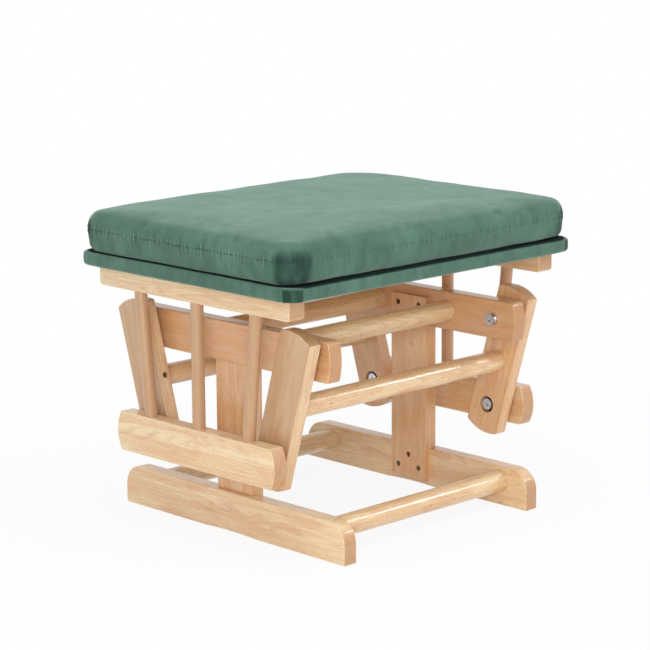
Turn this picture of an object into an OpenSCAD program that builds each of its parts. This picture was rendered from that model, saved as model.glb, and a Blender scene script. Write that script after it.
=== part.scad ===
// Glider ottoman. A wooden base carries four swing links on ball bearings, and
// the links carry a seat frame with spindles, an upholstered board and a cushion.
// X runs along the dowels, Y is the glide direction and Z is up. The origin is on
// the floor under the centre. Left is the -X side and front is the -Y side.

/* [Base] */
// Clear width between the left and right runners
base_gap = 304; // [280:2:330]
// Length of a floor runner
runner_length = 400; // [380:5:460]
// Height of a floor runner
runner_height = 51; // [46:1:60]
// Thickness of a floor runner
runner_thick = 20; // [18:0.5:26]
// Radius of the rounded top corners of a runner
runner_nose_r = 27; // [16:1:32]
// Length of the shallow relief under the middle of a runner
relief_length = 90; // [60:5:140]
// Height of that relief
relief_height = 1.5; // [0.5:0.25:3]
// Distance from the end of a runner to the centre of its cross dowel
runner_dowel_inset = 45.7; // [38:0.5:70]
// Distance from the top of a runner to the centre of its cross dowel
runner_dowel_drop = 19.2; // [17:0.2:23]
// Clear height of a post between the runner and the top rail
post_reach = 164.5; // [150:0.5:190]
// Width of a post
post_width = 62; // [56:1:74]
// Thickness of a post
post_thick = 20; // [17:0.5:24]
// Thickness of the laps at the two ends of a post
post_lap = 7.6; // [6:0.2:9]
// Height of the lower lap's end above the floor
post_foot = 8; // [4:1:12]
// Height of the upper lap on the top rail
post_head_lap = 39; // [34:0.5:44]
// Height of a top rail
top_rail_height = 50; // [48:1:60]
// Thickness of a top rail
top_rail_thick = 20; // [18:0.5:26]
// Distance from a pivot to the end of its top rail
top_rail_margin = 38; // [30:1:50]
// Bulge of the ends of a top rail
top_rail_bulge = 4.2; // [2:0.2:8]
// Distance between the two cross dowels under the seat
top_dowel_spread = 122; // [112:2:150]

/* [Dowels] */
// Diameter of the cross dowels
dowel_d = 27; // [22:0.5:29]
// Depth of the blind socket that holds the end of a dowel
dowel_socket = 12; // [9:0.5:14]

/* [Swing links] */
// Distance between the front and back top pivots
hanger_spread = 280; // [262:2:300]
// Distance between the two pivots of a link
link_pitch = 127; // [116:0.5:140]
// Lean of a link from the vertical, in degrees
link_tilt = 16.25; // [12:0.25:18]
// Width of a link
link_width = 52; // [48:1:58]
// Thickness of a link
link_thick = 18; // [16:0.5:22]
// Distance from a pivot to the end of its link
link_margin = 38; // [30:1:42]
// Bulge of the ends of a link
link_bulge = 6.5; // [4:0.25:9]
// Gap between a link and the rail on either side of it
pivot_gap = 10; // [8:0.5:13]

/* [Seat frame] */
// Height of a lower rail
lower_rail_height = 50; // [46:1:60]
// Thickness of a lower rail
lower_rail_thick = 20; // [18:0.5:26]
// Distance from a pivot to the end of its lower rail
lower_rail_margin = 39; // [32:1:46]
// Bulge of the ends of a lower rail
lower_rail_bulge = 7; // [4:0.25:10]
// Height of the pivots above the underside of a lower rail
low_pivot_height = 27; // [22:0.5:29]
// Diameter of a spindle
spindle_d = 16; // [12:0.5:17]
// Depth of the blind socket that holds the end of a spindle
spindle_socket = 12; // [8:0.5:14]
// Clear height between the lower and the upper rail
spindle_reach = 155.2; // [145:0.5:185]
// Distance between the outer spindles at the lower rail
spindle_foot_spread = 178; // [150:2:182]
// Distance between the outer spindles at the upper rail
spindle_head_spread = 209; // [190:1:240]
// Width of an upper rail
upper_rail_width = 25; // [22:0.5:30]
// Height of an upper rail
upper_rail_height = 25.6; // [23:0.2:32]
// Length of an upper rail
upper_rail_length = 343; // [320:1:370]

/* [Seat top] */
// Overhang of the board past the outer faces of the rails
board_side_overhang = 20; // [14:1:40]
// Overhang of the board past the ends of the upper rails
board_end_overhang = 23.5; // [15:0.5:40]
// Thickness of the wooden board
board_thick = 15.2; // [12:0.2:19]
// Corner radius of the covered board
board_corner_r = 25; // [15:1:40]
// Radius of the soft edge of the covered board
board_edge_r = 5.5; // [4:0.25:7]
// Thickness of the fabric and wadding on the board
cover_thick = 1.5; // [1:0.1:2.5]
// Width of the fabric that returns under the board
cover_return = 62; // [56:1:80]
// Distance from the edge of the covered board to the side of the cushion
cushion_inset = 3.5; // [0:0.5:12]
// Height of the side of the cushion
cushion_side = 55; // [45:1:80]
// Rise of the crowned top above the side of the cushion
cushion_crown = 4.5; // [2:0.5:12]
// Corner radius of the cushion
cushion_corner_r = 28; // [24:1:45]
// Radius of the soft edge of the cushion
cushion_edge_r = 14; // [10:0.5:20]
// Depth by which the sides pull in between the corners
cushion_draw = 2; // [0:0.25:5]
// Thickness of the wadding round the foam core
wadding = 16; // [12:0.5:22]

/* [Bearings and bolts] */
// Outer diameter of a ball bearing
bearing_od = 22; // [20:0.5:24]
// Width of a ball bearing
bearing_w = 7; // [6:0.5:8]
// Bore of the outer ring
outer_ring_id = 19; // [18.5:0.1:19.4]
// Outer diameter of the inner ring, the sleeves and the spacers
inner_ring_od = 12; // [11:0.25:12.5]
// Diameter of a bearing ball
ball_d = 3; // [2.6:0.1:3]
// Diameter of a pivot bolt
bolt_d = 8; // [6:0.5:8.5]
// Diameter of the head of a pivot bolt
bolt_head_d = 14.5; // [12:0.5:15.5]
// Height of the head of a pivot bolt
bolt_head_h = 4.4; // [3:0.2:5]
// Size of the hexagon socket in a bolt head, across its corners
hex_d = 5.8; // [4:0.2:7]
// Depth of the hexagon socket
hex_depth = 2.4; // [1:0.2:2.6]
// Depth of the heads of the bottom bolts below the inner faces of their links
bolt_recess = 1; // [0.4:0.2:2.4]
// Diameter of the washer under a top bolt head
washer_d = 16.5; // [16:0.5:20]
// Thickness of that washer
washer_h = 1.5; // [1:0.1:2]
// Diameter of a threaded insert
insert_d = 11.6; // [10:0.2:12]
// Length of a threaded insert
insert_length = 13; // [9:0.5:14]

/* [Wood screws] */
// Length of a screw that locks a dowel in its socket
dowel_screw_length = 24; // [22:1:26]
// Length of a screw that holds a post
post_screw_length = 18; // [14:1:20]
// Length of a screw that holds the board
board_screw_length = 30; // [27:1:31]
// Diameter of a screw shank
screw_d = 4; // [3:0.25:4.5]
// Diameter of a screw head
screw_head_d = 6.6; // [5.6:0.2:7]
// Height of a screw head
screw_head_h = 2.2; // [1.6:0.1:2.4]
// Width of the cross recess in a screw head
cross_width = 0.9; // [0.6:0.1:1.2]
// Length of the arms of the cross recess
cross_length = 3.8; // [2.5:0.1:4.2]
// Depth of the cross recess
cross_depth = 1; // [0.5:0.1:1.4]
// Diameter of the counterbore over a screw head
counterbore_d = 7.6; // [7.2:0.2:9]
// Depth of the counterbore in the laps of a post
post_counterbore = 3.6; // [3:0.2:4]
// Depth of the counterbore under an upper rail
board_counterbore = 9; // [7:0.5:10]

/* [Hidden] */
$fn = 72;

// Fits. Every cut runs past its face by the overrun.
overrun = 5;
glue_gap = 0.1;
end_gap = 0.3;
bolt_gap = 0.05;
washer_gap = 0.4;
sleeve_gap = 0.5;
thread_gap = 0.1;
insert_wall = 1.7;

// Places across the width, on the right side
x_in = base_gap / 2;
x_post = x_in - post_lap;
x_top_out = x_in + top_rail_thick;
x_link = x_top_out + pivot_gap;
x_link_out = x_link + link_thick;
x_low = x_link_out + pivot_gap;
x_low_out = x_low + lower_rail_thick;
x_low_bearing = x_link + bolt_recess + bolt_head_h;
x_low_bearing_out = x_low_bearing + bearing_w;
x_spindle = x_low + lower_rail_thick / 2;
x_upper = x_low_out - upper_rail_width;

// Heights of the base
runner_dowel_y = runner_length / 2 - runner_dowel_inset;
runner_dowel_z = runner_height - runner_dowel_drop;
top_rail_z = runner_height + post_reach;
pivot_z = top_rail_z + top_rail_height / 2;
post_head = top_rail_z + post_head_lap;
top_dowel_y = top_dowel_spread / 2;

// Pivots of the back links. The front ones mirror them.
pivot_y = hanger_spread / 2;
low_pivot_y = pivot_y - link_pitch * sin(link_tilt);
low_pivot_z = pivot_z - link_pitch * cos(link_tilt);
link_mid_y = (pivot_y + low_pivot_y) / 2;
link_mid_z = (pivot_z + low_pivot_z) / 2;

// Heights of the seat
lower_rail_z = low_pivot_z - low_pivot_height;
lower_rail_top = lower_rail_z + lower_rail_height;
upper_rail_z = lower_rail_top + spindle_reach;
board_z = upper_rail_z + upper_rail_height;
board_top = board_z + board_thick + 2 * cover_thick;
board_x = x_low_out + board_side_overhang;
board_y = upper_rail_length / 2 + board_end_overhang;
cushion_z = board_top + end_gap;
cushion_x = board_x - cushion_inset;
cushion_y = board_y - cushion_inset;

// Eased corners in the outlines of rails and links
top_rail_ease = 6;
rail_ease = 2.5;
link_ease = 3;
upper_rail_ease = 5;

// Screws that lock the dowels: how far the tip passes the dowel's centre, and
// where along its socket the screw crosses the dowel
screw_past = 3;
screw_place_share = 0.65;
screw_seat = dowel_screw_length - screw_past;
dowel_screw_x = x_in + dowel_socket * screw_place_share;
link_screw_x = x_link + dowel_socket * screw_place_share;

// Places of the three screws in each lap of a post
post_screw_spread = 36.6;
foot_screw_margin = 15.6;
head_screw_margin = 11.5;
post_screw_step = 16;

// Ball sets
ball_count = 7;
ball_pitch_r = (outer_ring_id + inner_ring_od) / 4;

// Colours of the materials
beech = "#E9CDA0";
beech_dark = "#DDBB8A";
steel = "#C4C6CA";
bearing_steel = "#AEB2B8";
green = "#5F8272";
green_dark = "#466658";
foam_cream = "#F0E6C8";

// Radius of an arc from its chord and its rise
function arc_r(chord, rise) = (chord * chord / 4 + rise * rise) / (2 * rise);

// Copies on the right and left, and at the back and front
module both_sides() {
    children();
    mirror([1, 0, 0]) children();
}
module both_ends() {
    children();
    mirror([0, 1, 0]) children();
}
module on_left() mirror([1, 0, 0]) children();
module on_front() mirror([0, 1, 0]) children();

// A side outline in Y and Z, given a thickness along X
module plate(x, thick) translate([x, 0, 0]) rotate([90, 0, 90]) linear_extrude(thick) children();

// A round bar along X
module x_bar(d, x0, x1) translate([x0, 0, 0]) rotate([0, 90, 0]) cylinder(h = x1 - x0, d = d);

// A ring along X
module x_ring(od, id, x0, x1) difference() {
    x_bar(od, x0, x1);
    x_bar(id, x0 - overrun, x1 + overrun);
}

// Outline of a bar with bulged ends, centred on the origin. Its upper and lower
// corners are eased by arcs that run smoothly into the bulge.
arc_steps = 16;
ease_steps = 6;
function arc_points(x, z, r, from, to, steps, first, last) = [for (i = [first:last])
    let (a = from + (to - from) * i / steps) [x + r * cos(a), z + r * sin(a)]];
function ease_angle(end_r, height, ease) = asin((height / 2 - ease) / (end_r - ease));
function bar_end(arc_x, end_r, height, up, down) =
    let (turn_up = ease_angle(end_r, height, up), turn_down = ease_angle(end_r, height, down))
    concat(
        arc_points(arc_x + (end_r - down) * cos(turn_down), down - height / 2, down,
            -90, -turn_down, ease_steps, 0, ease_steps),
        arc_points(arc_x, 0, end_r, -turn_down, turn_up, arc_steps, 1, arc_steps - 1),
        arc_points(arc_x + (end_r - up) * cos(turn_up), height / 2 - up, up,
            turn_up, 90, ease_steps, 0, ease_steps));
module bulged_bar(length, height, bulge, up, down) {
    end_r = arc_r(height, bulge);
    right = bar_end(length / 2 - end_r, end_r, height, up, down);
    n = len(right);
    polygon(concat(right, [for (i = [1:n]) [-right[n - i][0], right[n - i][1]]]));
}

// A wood screw with its head seat at the origin and its shank pointing down
module wood_screw(length) color(steel) {
    translate([0, 0, -length]) cylinder(h = length, d = screw_d);
    difference() {
        cylinder(h = screw_head_h, d = screw_head_d);
        for (turn = [0, 90]) rotate(turn)
            translate([-cross_length / 2, -cross_width / 2, screw_head_h - cross_depth])
                cube([cross_length, cross_width, cross_depth + overrun]);
    }
}

// Its hole: a pilot for the shank and a counterbore over the head
module screw_hole(length) {
    translate([0, 0, -length - end_gap]) cylinder(h = length + overrun, d = screw_d + 2 * glue_gap);
    cylinder(h = counterbore_reach, d = counterbore_d);
}
counterbore_reach = 40;

// Places of the dowel screws, each in a frame with Z up the screw
module at_runner_screw() translate([dowel_screw_x, runner_dowel_y, runner_dowel_z - screw_seat])
    rotate([180, 0, 0]) children();
module at_top_screw() translate([dowel_screw_x, top_dowel_y, pivot_z + screw_seat]) children();
module at_link_screw() translate([link_screw_x, link_mid_y, link_mid_z])
    rotate([90 - link_tilt, 0, 0]) translate([0, 0, screw_seat]) children();

// Places of the three screws in the lower and the upper lap of a post
module at_post_screws() translate([x_post + post_counterbore, 0, 0]) {
    for (side = [-1, 1]) {
        translate([0, side * post_screw_spread / 2, post_foot + foot_screw_margin])
            rotate([0, -90, 0]) children();
        translate([0, side * post_screw_spread / 2, post_head - head_screw_margin])
            rotate([0, -90, 0]) children();
    }
    translate([0, 0, post_foot + foot_screw_margin + post_screw_step]) rotate([0, -90, 0]) children();
    translate([0, 0, post_head - head_screw_margin - post_screw_step]) rotate([0, -90, 0]) children();
}

// Places of the two screws that go up through an upper rail into the board
module at_board_screws() for (side = [-1, 1])
    translate([x_upper + upper_rail_width / 2, side * spindle_head_spread / 4,
        upper_rail_z + board_counterbore]) rotate([180, 0, 0]) children();

// Places of the pivots on the right at the back
module at_top_pivot() translate([0, pivot_y, pivot_z]) children();
module at_low_pivot() translate([0, low_pivot_y, low_pivot_z]) children();

// Depth of the hole for a threaded insert
insert_hole = insert_length + end_gap;

module runner() color(beech) difference() {
    plate(x_in, runner_thick) difference() {
        union() {
            translate([-runner_length / 2, 0]) square([runner_length, runner_height - runner_nose_r]);
            translate([runner_nose_r - runner_length / 2, 0])
                square([runner_length - 2 * runner_nose_r, runner_height]);
            intersection() {
                for (side = [-1, 1]) translate([side * (runner_length / 2 - runner_nose_r),
                    runner_height - runner_nose_r]) circle(runner_nose_r);
                translate([-runner_length / 2, 0]) square([runner_length, runner_height]);
            }
        }
        translate([0, relief_height - arc_r(relief_length, relief_height)])
            circle(arc_r(relief_length, relief_height));
    }
    both_ends() {
        translate([0, runner_dowel_y, runner_dowel_z])
            x_bar(dowel_d + 2 * glue_gap, x_in - overrun, x_in + dowel_socket);
        at_runner_screw() screw_hole(dowel_screw_length);
    }
    at_post_screws() screw_hole(post_screw_length);
}

module post() color(beech_dark) difference() {
    union() {
        translate([x_post, -post_width / 2, post_foot])
            cube([post_lap, post_width, post_head - post_foot]);
        translate([x_in, -post_width / 2, runner_height])
            cube([post_thick - post_lap, post_width, post_reach]);
    }
    at_post_screws() screw_hole(post_screw_length);
}

module top_rail() color(beech) difference() {
    plate(x_in, top_rail_thick) translate([0, pivot_z])
        bulged_bar(hanger_spread + 2 * top_rail_margin, top_rail_height, top_rail_bulge,
            top_rail_ease, rail_ease);
    both_ends() {
        translate([0, top_dowel_y, pivot_z])
            x_bar(dowel_d + 2 * glue_gap, x_in - overrun, x_in + dowel_socket);
        at_top_screw() screw_hole(dowel_screw_length);
        at_top_pivot() {
            x_bar(inner_ring_od + 2 * sleeve_gap, x_in - overrun, x_top_out);
            x_bar(bearing_od + 2 * bolt_gap, x_top_out - bearing_w, x_top_out + overrun);
        }
    }
    at_post_screws() screw_hole(post_screw_length);
}

// A cross dowel of the base, from socket to socket
module base_dowel() color(beech)
    x_bar(dowel_d, end_gap - x_in - dowel_socket, x_in + dowel_socket - end_gap);

module runner_dowel() difference() {
    translate([0, runner_dowel_y, runner_dowel_z]) base_dowel();
    both_sides() at_runner_screw() screw_hole(dowel_screw_length);
}

module top_dowel() difference() {
    translate([0, top_dowel_y, pivot_z]) base_dowel();
    both_sides() at_top_screw() screw_hole(dowel_screw_length);
}

module post_screws() both_sides() at_post_screws() wood_screw(post_screw_length);

module base_dowel_screws() both_sides() both_ends() {
    at_runner_screw() wood_screw(dowel_screw_length);
    at_top_screw() wood_screw(dowel_screw_length);
}

module top_outer_rings() color(bearing_steel) both_sides() both_ends() at_top_pivot()
    x_ring(bearing_od, outer_ring_id, x_top_out - bearing_w, x_top_out);

// The swing links and their hardware, at the back
module link() color(beech) difference() {
    plate(x_link, link_thick) translate([link_mid_y, link_mid_z]) rotate(90 - link_tilt)
        bulged_bar(link_pitch + 2 * link_margin, link_width, link_bulge, link_ease, link_ease);
    translate([0, link_mid_y, link_mid_z])
        x_bar(dowel_d + 2 * glue_gap, x_link - overrun, x_link + dowel_socket);
    at_link_screw() screw_hole(dowel_screw_length);
    at_top_pivot() x_bar(insert_d + 2 * glue_gap, x_link - overrun, x_link + insert_hole);
    at_low_pivot() {
        x_bar(bearing_od + 2 * bolt_gap, x_link - overrun, x_low_bearing_out);
        x_bar(outer_ring_id, x_link, x_link_out + overrun);
    }
}

module link_dowel() difference() {
    translate([0, link_mid_y, link_mid_z]) color(beech)
        x_bar(dowel_d, end_gap - x_link - dowel_socket, x_link + dowel_socket - end_gap);
    both_sides() at_link_screw() screw_hole(dowel_screw_length);
}

module link_dowel_screws() both_sides() at_link_screw() wood_screw(dowel_screw_length);

// A pivot bolt along X with its head at the low end
module pivot_bolt(x_seat, x_tip) color(steel) difference() {
    union() {
        x_bar(bolt_head_d, x_seat - bolt_head_h, x_seat);
        x_bar(bolt_d, x_seat, x_tip);
    }
    translate([x_seat - bolt_head_h - overrun, 0, 0]) rotate([0, 90, 0])
        cylinder(h = overrun + hex_depth, d = hex_d, $fn = 6);
}

x_washer = x_in - washer_gap - washer_h;

module top_bolts() both_sides() at_top_pivot()
    pivot_bolt(x_washer, x_link + insert_length - insert_wall);

module top_washers() color(steel) both_sides() at_top_pivot()
    x_ring(washer_d, bolt_d + 2 * thread_gap, x_washer, x_washer + washer_h);

module top_sleeves() color(steel) both_sides() at_top_pivot()
    x_ring(inner_ring_od, bolt_d + 2 * thread_gap, x_washer + washer_h, x_top_out - bearing_w);

module top_inner_rings() color(bearing_steel) both_sides() at_top_pivot()
    x_ring(inner_ring_od, bolt_d + 2 * bolt_gap, x_top_out - bearing_w, x_top_out);

module ball_set(x) color(bearing_steel) for (i = [0:ball_count - 1])
    rotate([360 * i / ball_count, 0, 0]) translate([x, ball_pitch_r, 0]) sphere(d = ball_d);

module top_balls() both_sides() at_top_pivot() ball_set(x_top_out - bearing_w / 2);

module top_spacers() color(steel) both_sides() at_top_pivot()
    x_ring(inner_ring_od, bolt_d + 2 * thread_gap, x_top_out, x_link);

// A threaded insert, blind at its far end
module insert(x) color(steel) difference() {
    x_bar(insert_d, x, x + insert_length);
    x_bar(bolt_d + 2 * thread_gap, x - overrun, x + insert_length - insert_wall + end_gap);
}

module top_inserts() both_sides() at_top_pivot() insert(x_link);

module bottom_outer_rings() color(bearing_steel) both_sides() at_low_pivot()
    x_ring(bearing_od, outer_ring_id, x_low_bearing, x_low_bearing_out);

// The seat frame, on the right
module lower_rail() color(beech) difference() {
    plate(x_low, lower_rail_thick) translate([0, lower_rail_z + lower_rail_height / 2])
        bulged_bar(2 * (low_pivot_y + lower_rail_margin), lower_rail_height, lower_rail_bulge,
            rail_ease, rail_ease);
    both_ends() at_low_pivot()
        x_bar(insert_d + 2 * glue_gap, x_low - overrun, x_low + insert_hole);
    middle_spindle(glue_gap);
    both_ends() back_spindle(glue_gap);
}

// Upright and leaning spindles. A gap widens them for their sockets, and a
// shorter spindle leaves room at the bottom of each socket.
lean = atan((spindle_head_spread - spindle_foot_spread) / 2 / spindle_reach);
lean_reach = spindle_reach / cos(lean);

module spindle_bar(reach, gap) translate([0, 0, -spindle_socket + end_gap - gap])
    cylinder(h = reach + 2 * (spindle_socket - end_gap + gap), d = spindle_d + 2 * gap);

module middle_spindle(gap = 0) color(beech) translate([x_spindle, 0, lower_rail_top])
    spindle_bar(spindle_reach, gap);

module back_spindle(gap = 0) color(beech)
    translate([x_spindle, spindle_foot_spread / 2, lower_rail_top]) rotate([-lean, 0, 0])
        spindle_bar(lean_reach, gap);

module upper_rail() color(beech) difference() {
    plate(x_upper, upper_rail_width) union() {
        translate([-upper_rail_length / 2, upper_rail_z + upper_rail_ease])
            square([upper_rail_length, upper_rail_height - upper_rail_ease]);
        translate([upper_rail_ease - upper_rail_length / 2, upper_rail_z])
            square([upper_rail_length - 2 * upper_rail_ease, upper_rail_height]);
        for (side = [-1, 1]) translate([side * (upper_rail_length / 2 - upper_rail_ease),
            upper_rail_z + upper_rail_ease]) circle(upper_rail_ease);
    }
    middle_spindle(glue_gap);
    both_ends() back_spindle(glue_gap);
    at_board_screws() screw_hole(board_screw_length);
}

// A flat slab with round corners and a soft edge, from z0 to z1
soft_fn = 32;
module soft_slab(half_x, half_y, z0, z1, corner_r, edge_r) hull()
    for (side = [-1, 1], end = [-1, 1])
        translate([side * (half_x - corner_r), end * (half_y - corner_r), z0])
            rotate_extrude($fn = soft_fn) {
                square([corner_r - edge_r, z1 - z0]);
                intersection() {
                    for (z = [edge_r, z1 - z0 - edge_r]) translate([corner_r - edge_r, z])
                        circle(edge_r, $fn = soft_fn);
                    square([corner_r, z1 - z0]);
                }
            }

module board_core() soft_slab(board_x - cover_thick, board_y - cover_thick,
    board_z + cover_thick, board_top - cover_thick, board_corner_r - cover_thick,
    board_edge_r - cover_thick);

module seat_board() color(beech_dark) difference() {
    board_core();
    both_sides() at_board_screws() screw_hole(board_screw_length);
}

module board_cover() color(green_dark) difference() {
    soft_slab(board_x, board_y, board_z, board_top, board_corner_r, board_edge_r);
    board_core();
    translate([cover_return - board_x, cover_return - board_y, board_z - overrun])
        cube([2 * (board_x - cover_return), 2 * (board_y - cover_return), overrun + 2 * cover_thick]);
    both_sides() at_board_screws() screw_hole(board_screw_length);
}

module board_screws() both_sides() at_board_screws() wood_screw(board_screw_length);

// Cushion. Rings of points climb its side by shares of its height, set in by
// shares of its edge radius, and then cross its crowned top by shares of its size.
side_shares = [0, 0.03, 0.1, 0.22, 0.36, 0.47, 0.5, 0.53, 0.64, 0.78, 0.89, 0.96, 1];
inset_shares = [0.7, 0.4, 0.16, 0.04, 0, 0.03, 0.12, 0.03, 0, 0.06, 0.24, 0.55, 1];
crown_shares = [0.85, 0.6, 0.3];
corner_steps = 6;
side_steps = 10;
corner_turn = 90 / corner_steps;

// One ring: for each quarter a corner arc, then the points along the next side
function quarter_corner(q, hx, hy, r) = [for (i = [0:corner_steps])
    let (a = 90 * q + i * corner_turn)
    [(q == 0 || q == 3 ? 1 : -1) * (hx - r) + r * cos(a), (q < 2 ? 1 : -1) * (hy - r) + r * sin(a)]];
function quarter_side(q, hx, hy, r) = [for (i = [1:side_steps])
    let (t = i / (side_steps + 1), pull = cushion_draw * sin(180 * t))
    q == 0 ? [(hx - r) * (1 - 2 * t), hy - pull] :
    q == 1 ? [pull - hx, (hy - r) * (1 - 2 * t)] :
    q == 2 ? [(hx - r) * (2 * t - 1), pull - hy] : [hx - pull, (hy - r) * (2 * t - 1)]];
function outline(hx, hy, r) = [for (q = [0:3])
    each concat(quarter_corner(q, hx, hy, r), quarter_side(q, hx, hy, r))];
function side_ring(k) = [for (p = outline(cushion_x - inset_shares[k] * cushion_edge_r,
    cushion_y - inset_shares[k] * cushion_edge_r, cushion_corner_r - inset_shares[k] * cushion_edge_r))
    [p[0], p[1], cushion_z + side_shares[k] * cushion_side]];
function crown_ring(s) = [for (p = side_ring(len(side_shares) - 1))
    [s * p[0], s * p[1], p[2] + cushion_crown * (1 - s * s)]];

module cushion_form() {
    rings = concat([for (k = [0:len(side_shares) - 1]) side_ring(k)],
        [for (s = crown_shares) crown_ring(s)]);
    n = len(rings[0]);
    last = len(rings) - 1;
    points = concat([for (ring = rings) each ring],
        [[0, 0, cushion_z], [0, 0, cushion_z + cushion_side + cushion_crown]]);
    walls = [for (k = [0:last - 1], i = [0:n - 1]) let (a = k * n + i, b = k * n + (i + 1) % n)
        each [[a, a + n, b], [b, a + n, b + n]]];
    floor_fan = [for (i = [0:n - 1]) [i, (i + 1) % n, n * (last + 1)]];
    crown_fan = [for (i = [0:n - 1]) [n * last + (i + 1) % n, n * last + i, n * (last + 1) + 1]];
    polyhedron(points, concat(walls, floor_fan, crown_fan));
}

module foam_block() {
    wrap = wadding / 2;
    translate([wadding - cushion_x, wadding - cushion_y, cushion_z + wrap])
        cube([2 * (cushion_x - wadding), 2 * (cushion_y - wadding), cushion_side - 2 * wrap]);
}

module cushion_foam() color(foam_cream) foam_block();

module cushion() color(green) difference() {
    cushion_form();
    foam_block();
}

// The bottom pivots, whose bolts turn with the seat
module bottom_bolts() both_sides() both_ends() at_low_pivot()
    pivot_bolt(x_low_bearing, x_low + insert_length - insert_wall);

module bottom_inner_rings() color(bearing_steel) both_sides() both_ends() at_low_pivot()
    x_ring(inner_ring_od, bolt_d + 2 * bolt_gap, x_low_bearing, x_low_bearing_out);

module bottom_balls() both_sides() on_front() at_low_pivot()
    ball_set(x_low_bearing + bearing_w / 2);

module bottom_spacers() color(steel) both_sides() both_ends() at_low_pivot()
    x_ring(inner_ring_od, bolt_d + 2 * thread_gap, x_low_bearing_out, x_low);

module bottom_inserts() both_sides() both_ends() at_low_pivot() insert(x_low);

on_left() runner();  // runner_left
runner();  // runner_right
on_front() runner_dowel();  // runner_dowel_front
runner_dowel();  // runner_dowel_back
on_left() post();  // post_left
post();  // post_right
on_left() top_rail();  // top_rail_left
top_rail();  // top_rail_right
on_front() top_dowel();  // top_dowel_front
top_dowel();  // top_dowel_back
post_screws();
base_dowel_screws();
top_outer_rings();
on_front() on_left() link();  // front_link_left
on_front() link();  // front_link_right
on_front() link_dowel();  // front_link_dowel
on_front() link_dowel_screws();  // front_dowel_screws
on_front() top_bolts();  // front_top_bolts
on_front() top_washers();  // front_top_washers
on_front() top_sleeves();  // front_top_sleeves
on_front() top_inner_rings();  // front_top_inner_rings
on_front() top_balls();  // front_top_balls
on_front() top_spacers();  // front_top_spacers
on_front() top_inserts();  // front_top_inserts
on_front() bottom_outer_rings();  // front_bottom_outer_rings
on_left() link();  // back_link_left
link();  // back_link_right
link_dowel();  // back_link_dowel
link_dowel_screws();  // back_dowel_screws
top_bolts();  // back_top_bolts
top_washers();  // back_top_washers
top_sleeves();  // back_top_sleeves
top_inner_rings();  // back_top_inner_rings
top_balls();  // back_top_balls
top_spacers();  // back_top_spacers
top_inserts();  // back_top_inserts
bottom_outer_rings();  // back_bottom_outer_rings
on_left() lower_rail();  // lower_rail_left
lower_rail();  // lower_rail_right
on_front() on_left() back_spindle();  // spindle_left_front
on_left() middle_spindle();  // spindle_left_middle
on_left() back_spindle();  // spindle_left_back
on_front() back_spindle();  // spindle_right_front
middle_spindle();  // spindle_right_middle
back_spindle();  // spindle_right_back
on_left() upper_rail();  // upper_rail_left
upper_rail();  // upper_rail_right
seat_board();
board_cover();
board_screws();
cushion_foam();
cushion();
bottom_bolts();
bottom_inner_rings();
bottom_balls();
bottom_spacers();
bottom_inserts();
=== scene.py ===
import math

import bpy
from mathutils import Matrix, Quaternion, Vector, noise


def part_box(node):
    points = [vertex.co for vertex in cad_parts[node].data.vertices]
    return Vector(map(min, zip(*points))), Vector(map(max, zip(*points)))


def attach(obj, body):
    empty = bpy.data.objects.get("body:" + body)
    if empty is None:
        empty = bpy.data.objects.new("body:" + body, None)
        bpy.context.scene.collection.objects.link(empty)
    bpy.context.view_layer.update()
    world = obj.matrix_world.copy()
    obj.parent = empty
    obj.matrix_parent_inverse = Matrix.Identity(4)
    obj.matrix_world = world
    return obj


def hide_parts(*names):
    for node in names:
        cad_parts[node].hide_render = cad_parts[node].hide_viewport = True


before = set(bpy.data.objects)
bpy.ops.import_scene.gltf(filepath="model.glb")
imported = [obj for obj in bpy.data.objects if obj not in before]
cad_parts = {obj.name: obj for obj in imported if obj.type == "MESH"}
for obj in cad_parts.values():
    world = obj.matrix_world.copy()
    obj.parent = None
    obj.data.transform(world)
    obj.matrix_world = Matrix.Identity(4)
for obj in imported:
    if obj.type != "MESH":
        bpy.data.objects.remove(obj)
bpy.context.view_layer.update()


# ---- The room ----
# A pale studio floor under large soft lamps, with the camera where the photograph was taken from.
# The lamps are set so that a colour renders about as it is written. To the camera and in
# reflections the floor and the backdrop are white, and the floor keeps a faint shadow.

def add_node(tree, kind, links=None, **settings):
    """Adds a shader node. links gives each input a value, another node's output, or another
    node, which stands for the output that it gives. A colour Mix has its share in input 0, its
    two colours in inputs 6 and 7, and gives output 2. Any other node gives its first output."""
    new = tree.nodes.new("ShaderNode" + kind)
    for name, value in settings.items():
        setattr(new, name, value)
    for socket, value in (links or {}).items():
        if isinstance(value, bpy.types.Node):
            value = value.outputs[2 if value.bl_idname == "ShaderNodeMix" else 0]
        if isinstance(value, bpy.types.NodeSocket):
            tree.links.new(value, new.inputs[socket])
        else:
            new.inputs[socket].default_value = value
    return new


def colour(code):
    """An sRGB hex colour as the linear colour that a socket takes."""
    parts = [int(code[i:i + 2], 16) / 255 for i in (1, 3, 5)]
    return (*(p / 12.92 if p <= 0.04045 else ((p + 0.055) / 1.055) ** 2.4 for p in parts), 1)


def seen_directly(tree):
    """1 where the camera, a reflection or a clear material looks at the surface, and 0 where
    only its light counts."""
    path = add_node(tree, "LightPath")
    glossy = add_node(tree, "Math", {0: path.outputs["Is Camera Ray"],
                                     1: path.outputs["Is Glossy Ray"]}, operation="MAXIMUM")
    return add_node(tree, "Math", {0: glossy, 1: path.outputs["Is Transmission Ray"]},
                    operation="MAXIMUM")


bpy.context.scene.view_settings.view_transform = "Standard"
bpy.ops.object.select_all(action="DESELECT")

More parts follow.
